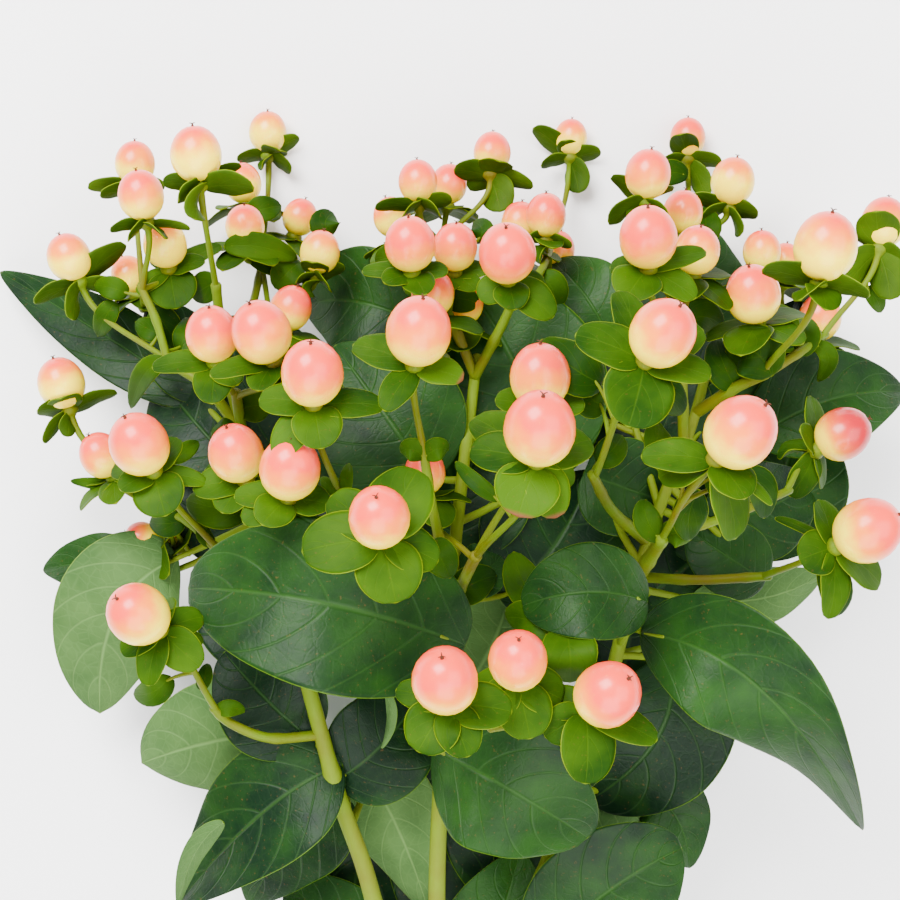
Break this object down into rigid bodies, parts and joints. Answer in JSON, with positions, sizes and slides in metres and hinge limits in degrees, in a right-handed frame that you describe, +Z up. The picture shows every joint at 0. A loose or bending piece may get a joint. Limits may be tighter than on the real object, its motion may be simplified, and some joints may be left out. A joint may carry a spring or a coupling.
{
  "type": "hypericum berry stem",
  "caption": "Cut leafy branch lying on its back, with sprays of round peach berries over spread green sepals, for flower arranging.",
  "frame": {"origin": "middle of the footprint of the lying branch, on the surface it lies on", "axes": "+Y from the cut end of the stem towards the berry tips, +Z up from the surface, +X across the head to the right as seen from above with the tips away from the viewer"},
  "size_m": [0.2189, 0.319, 0.1192],
  "materials": {
    "berry_skin": "waxy gloss, peach pink fading to cream at the base",
    "sepal_green": "satin, bright yellow-green with a paler rim",
    "leaf_and_bark": "satin, dark blue-green blade with pale veins"
  },
  "bodies": {
    "root": {"berry_01": "berry_skin", "berry_02": "berry_skin", "berry_03": "berry_skin", "berry_04": "berry_skin", "berry_05": "berry_skin", "berry_07": "berry_skin", "berry_08": "berry_skin", "berry_10": "berry_skin", "berry_11": "berry_skin", "berry_13": "berry_skin", "berry_15": "berry_skin", "berry_16": "berry_skin", "berry_17": "berry_skin", "berry_18": "berry_skin", "berry_19": "berry_skin", "berry_20": "berry_skin", "berry_21": "berry_skin", "berry_24": "berry_skin", "berry_25": "berry_skin", "berry_26": "berry_skin", "berry_27": "berry_skin", "berry_28": "berry_skin", "berry_29": "berry_skin", "berry_30": "berry_skin", "berry_31": "berry_skin", "berry_33": "berry_skin", "berry_34": "berry_skin", "berry_35": "berry_skin", "berry_36": "berry_skin", "berry_42": "berry_skin", "berry_43": "berry_skin", "berry_44": "berry_skin", "berry_45": "berry_skin", "berry_46": "berry_skin", "berry_47": "berry_skin", "berry_48": "berry_skin", "berry_49": "berry_skin", "berry_50": "berry_skin", "berry_52": "berry_skin", "berry_54": "berry_skin", "berry_55": "berry_skin", "berry_56": "berry_skin", "berry_57": "berry_skin", "berry_58": "berry_skin", "berry_59": "berry_skin", "berry_60": "berry_skin", "leafy_branch": "leaf_and_bark", "spray_centre": "sepal_green", "spray_far_left": "sepal_green", "spray_left_middle": "sepal_green", "spray_left_pair": "sepal_green", "spray_left_rim": "sepal_green", "spray_low_centre": "sepal_green", "spray_low_left": "sepal_green", "spray_right_high": "sepal_green", "spray_right_middle": "sepal_green", "spray_right_rim": "sepal_green", "spray_right_top": "sepal_green", "spray_top_centre": "sepal_green", "spray_top_left": "sepal_green"}
  },
  "joints": []
}
